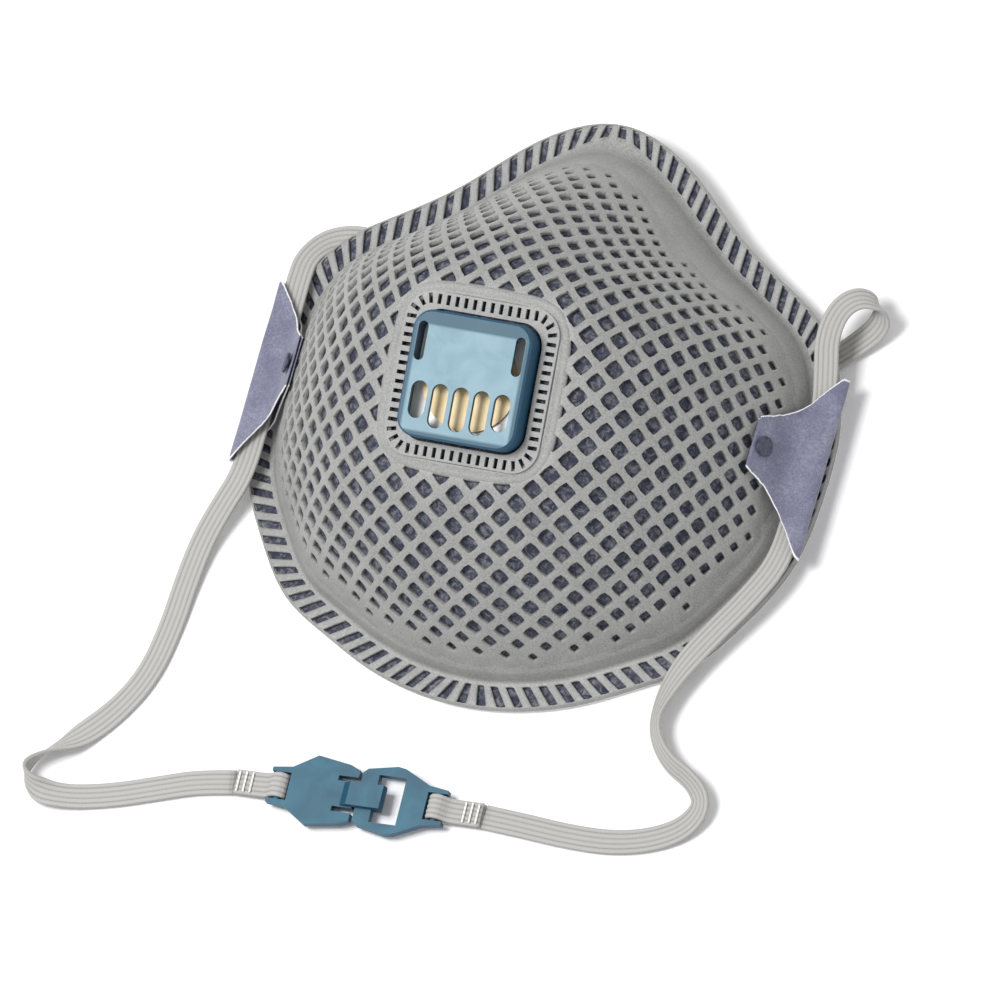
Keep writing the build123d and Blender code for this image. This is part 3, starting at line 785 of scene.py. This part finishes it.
def buildNet(size):
    bm = bmesh.new()
    cells = size["cells"]
    bmesh.ops.create_grid(bm, x_segments=cells, y_segments=cells, size=cells * size["pitch"] / 2)
    bmesh.ops.rotate(bm, verts=bm.verts, matrix=Matrix.Rotation(math.radians(45), 3, "Z"))
    faces = list(bm.faces)
    middles = np.array([f.calc_center_median()[:2] for f in faces])
    angles = np.arctan2(middles[:, 1], middles[:, 0])
    down = (np.hypot(middles[:, 0], middles[:, 1]) - collarReach(angles)) * size["draw"]
    _, total = wallPoints(angles, np.maximum(down, 0))
    left = total - down
    margin = plainMargin(angles)
    opens, vary = size["opens"]
    outside = {f for f, d, r, m in zip(faces, down, left, margin)
               if d < -size["underCollar"] or r < m - size["underRim"]}
    hole = softStep(left, margin - 2.0, margin + size["fade"]) ** 0.7
    hole *= size["besideCollar"] + (1 - size["besideCollar"]) * softStep(down, -1.0, size["collarFade"])
    drop, sink = [], set()
    for face, share, d in zip(faces, hole, down):
        if face in outside or share < 0.03:
            continue
        jitter = 0.5 + 0.5 * noise.noise(Vector(face.calc_center_median()) * 0.35)
        opened = size["smallest"] + (1 - size["smallest"]) * share
        gap = (size["pitch"] - size["strand"]) * opened * (1 + size["uneven"] * (jitter - 0.5))
        bmesh.ops.inset_individual(bm, faces=[face], thickness=(size["pitch"] - gap) / 2, depth=0,
                                   use_even_offset=True)
        if share > opens + vary * jitter or d < size["alwaysOpen"]:
            drop.append(face)
        else:
            sink.update(face.verts)
    bmesh.ops.delete(bm, geom=[f for f in faces if f in outside] + drop, context="FACES")
    verts = list(bm.verts)
    flat = np.array([v.co[:2] for v in verts])
    turn = np.arctan2(flat[:, 1], flat[:, 0])
    reach = (np.hypot(flat[:, 0], flat[:, 1]) - collarReach(turn)) * size["draw"]
    _, total = wallPoints(turn, np.maximum(reach, 0))
    depth = np.array([size["dimple"] if v in sink else 0.0 for v in verts])
    depth += size["rimSink"] * softStep(plainMargin(turn) - (total - reach), 0.0, 2.0)
    depth += size["collarSink"] * softStep(1.0 - reach, -0.5, 1.2)
    points, _ = wallPoints(turn, np.clip(reach, 0.05, total - 0.5), depth)
    for vert, point in zip(verts, points):
        vert.co = Vector(point) * mm
    turnFaces(bm)
    return bm


netDiamonds = newObject("netDiamonds", buildNet(netSize))
addModifier(netDiamonds, "SOLIDIFY", thickness=netSize["wall"] * mm, offset=-1,
            edge_crease_outer=0.45, edge_crease_inner=0.45, edge_crease_rim=0.7)
subdivide(netDiamonds, 1)
dress(netDiamonds, "net_plastic", replaced=["outer_mesh_shell"])
print("net made", len(netDiamonds.data.polygons))


# rim of the net: flange with slanted slots, plain margin
rimSize = {
    "slots": 104,
    "slotShare": 0.52,      # of each pitch
    "slotIn": (0.45, 5.45), # from the outer edge
    "slant": math.tan(math.radians(30)),
    "edges": ((-0.12, -1.25), (0.1, -0.08)),    # the outer edge's roll, inwards and up
    "bridge": (0.45, 10),   # slots on the bridge of the nose: how much shorter, over what half width
    "wall": (0.2, 0.9, 2.0, 3.2),               # rows up the wall
    "steps": 3,             # more rows, up to the margin's end
    "seam": 0.4,            # margin's end under the net's first holes
    "thick": 1.0,
    "feather": 3.0,
    "sink": 0.45,
}


def buildRim(size):
    count, flange, slotIn = size["slots"] * 3 + 1, form["flange"], size["slotIn"]
    offsets = np.array([0.0, size["slotShare"], 0.5 + size["slotShare"] / 2])
    shares = (np.arange(count) // 3 + offsets[np.arange(count) % 3]) * (1.0 / size["slots"])
    inner = edgePoint(shares, np.full(count, flange))
    margin = plainMargin(np.arctan2(inner[:, 1], inner[:, 0])) - size["seam"]
    side = np.clip(edgePoint(shares, np.zeros(count))[:, 0] / 7, -1, 1)
    shorter, bridge = size["bridge"]
    places = []
    for inward, rise in (*size["edges"], (slotIn[0], 0), (slotIn[1], 0), (flange - 0.1, 0)):
        shift = side * size["slant"] * (inward - flange / 2) / rimTurn
        outer = edgePoint(shares + shift, np.zeros(count))
        short = shorter * np.exp(-(outer[:, 0] / bridge) ** 2) * (outer[:, 1] > 0) * (inward == slotIn[1])
        spot = edgePoint(shares + shift, inward * (1 - short))
        places.append(np.column_stack([spot, rimLift(spot[:, 1]) + form["netTop"] + rise]))
    foot = edgePoint(shares + side * size["slant"] * (flange / 2) / rimTurn, np.full(count, flange))
    angles = np.arctan2(foot[:, 1], foot[:, 0])
    top = size["wall"][-1]
    rises = [(rise, 0.0) for rise in size["wall"]]
    rises += [(top + (margin - top) * step / size["steps"], 0.0) for step in range(1, size["steps"])]
    rises += [(margin, 0.0), (margin + size["feather"], size["sink"])]
    for rise, depth in rises:
        rise = np.broadcast_to(rise, angles.shape)
        places.append(wallPoints(angles, rise, np.full(count, depth), fromFoot=True)[0])
    bm = ringGrid(places, closed=False)
    bm.faces.ensure_lookup_table()
    slots = [f for i, f in enumerate(bm.faces) if i // (count - 1) == 2 and i % (count - 1) % 3 == 0]
    bmesh.ops.delete(bm, geom=slots, context="FACES")
    bmesh.ops.remove_doubles(bm, verts=bm.verts, dist=2e-6)
    turnFaces(bm)
    return bm


netRim = newObject("netRim", buildRim(rimSize))
addModifier(netRim, "SOLIDIFY", thickness=rimSize["thick"] * mm, offset=-1,
            edge_crease_outer=0.6, edge_crease_inner=0.6, edge_crease_rim=0.8)
subdivide(netRim, 1)
dress(netRim, "net_plastic")
print("rim made", len(netRim.data.polygons))


# collar: flat pad under the valve, blending into the net
collarSize = {
    "columns": 128,
    "pad": ((0.93, -0.4), (0.955, 0.0), (0.968, 0.3), (0.992, 0.3)),    # share of its reach, height
    "blend": ((0.5, 0.0), (1.4, -0.03), (2.1, 0.1), (2.8, 0.7)),        # distance down the wall, depth
    "thick": 0.8,
}


def buildCollar(size):
    angles = np.linspace(0, 2 * math.pi, size["columns"] + 1)
    reach = squareReach(angles, form["collar"] / 2)
    tilt = form["valveTilt"]
    places = []
    for share, rise in size["pad"]:
        x, across = share * reach * np.cos(angles), share * reach * np.sin(angles)
        y = form["valveY"] + across * math.cos(tilt) - rise * math.sin(tilt)
        z = form["height"] + across * math.sin(tilt) + rise * math.cos(tilt)
        places.append(np.column_stack([x, y, z]))
    for down, depth in size["blend"]:
        places.append(wallPoints(angles, np.full(angles.shape, down), np.full(angles.shape, depth))[0])
    bm = ringGrid(places)
    turnFaces(bm)
    return bm


netCollar = newObject("netCollar", buildCollar(collarSize))
addModifier(netCollar, "SOLIDIFY", thickness=collarSize["thick"] * mm, offset=-1)
subdivide(netCollar, 1)
dress(netCollar, "net_plastic")
print("collar made")


# strap sleeves: cloth folded over the strap; side is x and z round the fold, front and back are x and y
sleeveSize = {
    "side": [(56.75, 19.35), (58.6, 16.3), (62.3, 9.9), (64.2, 8.75), (67.4, 8.5), (69.6, 8.0),
             (70.5, 6.5), (69.5, 4.95), (67.2, 4.75), (64.0, 4.8), (62.4, 5.9), (61.6, 7.9),
             (57.9, 15.6), (56.3, 18.75)],
    "front": [(54, -5.9), (60, -10), (66, -18), (69.6, -23.8), (72, -23.8)],
    "back": [(54, 2.3), (60, 7.5), (66, 16), (69.4, 20.3), (72, 20.3)],
    "thick": 0.42,
    "columns": 52,
    "rows": 34,
    "torn": 0.45,           # unevenness of the cut edges
    "pucker": (0.35, 0.30), # waves along the seam, dents in the cloth
    "frayed": 0.75,         # width of the frayed border
    "area": 0.00098,        # one cut piece, in square metres
    "flat": (0.044, 0.036), # and in metres
}


def buildSleeve(size, side):
    corners = size["side"]
    knots = np.concatenate([[0], np.cumsum(np.linalg.norm(np.diff(np.array(corners), axis=0), axis=1))])
    columns, rows = size["columns"], size["rows"]
    walk = np.linspace(0, knots[-1], columns + 1)
    line = np.stack([np.interp(walk, knots, [c[k] for c in corners]) for k in (0, 1)], axis=1)
    evened(line, 2)
    fronts = np.interp(line[:, 0], *zip(*size["front"]))
    backs = np.interp(line[:, 0], *zip(*size["back"]))
    bm = mappedGrid(columns, rows, lambda c, r: (c, r, 0))
    fray = bm.verts.layers.float.new("fray")
    for vert in bm.verts:
        column, row = round(vert.co.x / mm), round(vert.co.y / mm)
        share = row / rows
        x, z = line[column]
        torn = size["torn"] * noise.noise(Vector((column * 0.9, side * 3.0, 7.0 * (share > 0.5))))
        y = fronts[column] + (backs[column] - fronts[column]) * share + torn * (abs(share - 0.5) > 0.47)
        fold = walk[column] / knots[-1]
        pucker = size["pucker"][0] * math.sin(share * 9.5 + fold * 5) * math.sin(fold * math.pi * 2) ** 2
        pucker += size["pucker"][1] * noise.noise(Vector((x * 0.16, y * 0.11, side * 5.0 + fold * 4)))
        lift = min(1.0, (min(share, 1 - share) + 0.05) * 9)
        z += pucker * (0.5 if fold > 0.5 else 1.0) * (0.3 + 0.7 * lift)
        vert.co = Vector((side * x, y, z)) * mm
        inwards = min(share, 1 - share) * abs(backs[column] - fronts[column])
        vert[fray] = max(0.0, 1.0 - inwards / size["frayed"])
    bmesh.ops.recalc_face_normals(bm, faces=bm.faces)
    return bm


for side, name in ((1, "right"), (-1, "left")):
    cloth = newObject(name + "Sleeve", buildSleeve(sleeveSize, side))
    addModifier(cloth, "SOLIDIFY", thickness=sleeveSize["thick"] * mm, offset=0)
    subdivide(cloth, 1)
    dress(cloth, "sleeve_web", replaced=[name + "_strap_sleeve"])
print("sleeves made")


# moulded parts with their edges rounded: name, millimetres, segments, 1 for edges in painted shade
edgeRounds = {
    "valve_cover": ("valveCover", 0.45, 2, 1),
    "valve_crimp_ring": ("crimpRing", 0.12, 1, 0),
    "clasp_hook": ("claspHook", 0.32, 2, 1),
    "clasp_catch": ("claspCatch", 0.32, 2, 1),
    "left_sleeve_rivet": ("leftWeld", 0.3, 3, 0),
    "right_sleeve_rivet": ("rightWeld", 0.3, 3, 0),
}
bodyOf = {node: body for body, nodes in frame["record"]["behaviour"]["bodies"].items() for node in nodes}
# edge material: a darker copy of the tinted plastic, painted shade for the rounded edges
edgeShade = mouldedTintedEdge()
moulded = {}
for node, (name, width, segments, edgeSlot) in edgeRounds.items():
    made = moulded[node] = copyOfNode(name, node, width, segments, edgeSlot)
    dress(made, nodeSlots[node], bodyOf[node], [node])
    if edgeSlot:
        made.data.materials.append(edgeShade)
print("moulded parts made")


# soft inner liner
linerSize = {
    "inside": 3.5,          # under the net's outer face
    "base": 0.35,
    "brim": (0.05, 1.6, 3.4, 5.2, 6.9, 8.4),    # rows across the flange
    "columns": 168,
    "climbs": 26,
    "neck": 10.5,           # radius where it meets the valve's neck
    "top": (0.3, 0.65, 1.0),                    # rows in to the neck
    "thick": 0.38,
    "ripple": 0.16,
}


def buildLiner(size):
    count, depth = size["columns"] + 1, size["inside"]
    shares = np.arange(count) / size["columns"]
    places = []
    for inward in size["brim"]:
        spot = edgePoint(shares, np.full(count, inward))
        places.append(np.column_stack([spot, rimLift(spot[:, 1]) + 0.02]))
    foot = edgePoint(shares, np.full(count, form["flange"] + depth))
    angles = np.arctan2(foot[:, 1], foot[:, 0])
    for step in range(size["climbs"] + 1):
        places.append(domePoint(angles, np.full(count, step / size["climbs"]), depth, base=size["base"]))
    edge = places[-1]
    x, across = size["neck"] * np.cos(angles), size["neck"] * np.sin(angles) * math.cos(form["valveTilt"])
    z = form["height"] - depth + across * math.tan(form["valveTilt"])
    neck = np.column_stack([x, across + form["valveY"], z])
    for share in size["top"]:
        places.append(edge * (1 - share) + neck * share)
    bm = ringGrid(places)
    turnFaces(bm, upwards=False)
    bm.normal_update()
    for vert in bm.verts:
        rise = min(1.0, max(0.0, (vert.co.z / mm - 3.0) / 6))
        wave = noise.noise(vert.co * 90) + 0.5 * noise.noise(vert.co * 240)
        vert.co += vert.normal * wave * rise * size["ripple"] * mm
    return bm


innerLiner = newObject("innerLiner", buildLiner(linerSize))
addModifier(innerLiner, "SOLIDIFY", thickness=linerSize["thick"] * mm, offset=-1)
dress(innerLiner, "liner_web", replaced=["inner_liner"])
print("liner made")


# floor and lamps
# painted board: flat white with no sheen; it is clear from beneath, so that the mask shows from below
def paintedBoard():
    material, tree, shader = newMaterial("paintedBoard")
    shader.inputs["Base Color"].default_value = linearColour("#FBFBFC")
    shader.inputs["Roughness"].default_value = 1.0
    shader.inputs["Specular IOR Level"].default_value = 0.0
    under = addNode(tree, "ShaderNodeNewGeometry").outputs["Backfacing"]
    clear = addNode(tree, "ShaderNodeBsdfTransparent")
    mix = addNode(tree, "ShaderNodeMixShader", links={0: under, 1: shader.outputs[0], 2: clear.outputs[0]})
    tree.links.new(mix.outputs[0], tree.nodes["Material Output"].inputs["Surface"])
    return material


def buildStage(v):
    bm = bmesh.new()
    bmesh.ops.create_grid(bm, x_segments=1, y_segments=1, size=v["floorSize"] / 2)
    bmesh.ops.translate(bm, verts=bm.verts, vec=(0, 0, v["floorHeight"] * mm))
    floor = newObject("floor", bm)
    floor.data.materials.append(paintedBoard())
    world = bpy.data.worlds.new("softRoom")
    bpy.context.scene.world = world
    world.use_nodes = True
    tree = world.node_tree
    back = tree.nodes["Background"]
    seen = addNode(tree, "ShaderNodeLightPath").outputs["Is Camera Ray"]
    level = addNode(tree, "ShaderNodeMapRange", links={"Value": seen},
                    inputs={"To Min": v["worldLevel"], "To Max": 1.0})
    tree.links.new(level.outputs["Result"], back.inputs["Strength"])
    back.inputs["Color"].default_value = (1, 1, 1, 1)
    right, up, out = Vector(v["right"]), Vector(v["up"]), Vector(v["back"])
    for name, place, size, power in (
            ("keyLamp", -right * 0.62 + up * 0.30 + out * 0.85, 0.42, v["keyPower"]),
            ("fillLamp", right * 0.8 - up * 0.1 + out * 0.8, 0.9, v["fillPower"])):
        data = bpy.data.lights.new(name, "AREA")
        data.size = size
        data.energy = power
        lamp = bpy.data.objects.new(name, data)
        lamp.matrix_world = Matrix.Translation(place) @ place.to_track_quat("Z", "Y").to_matrix().to_4x4()
        bpy.context.scene.collection.objects.link(lamp)


buildStage(viewSettings)
print("stage made")
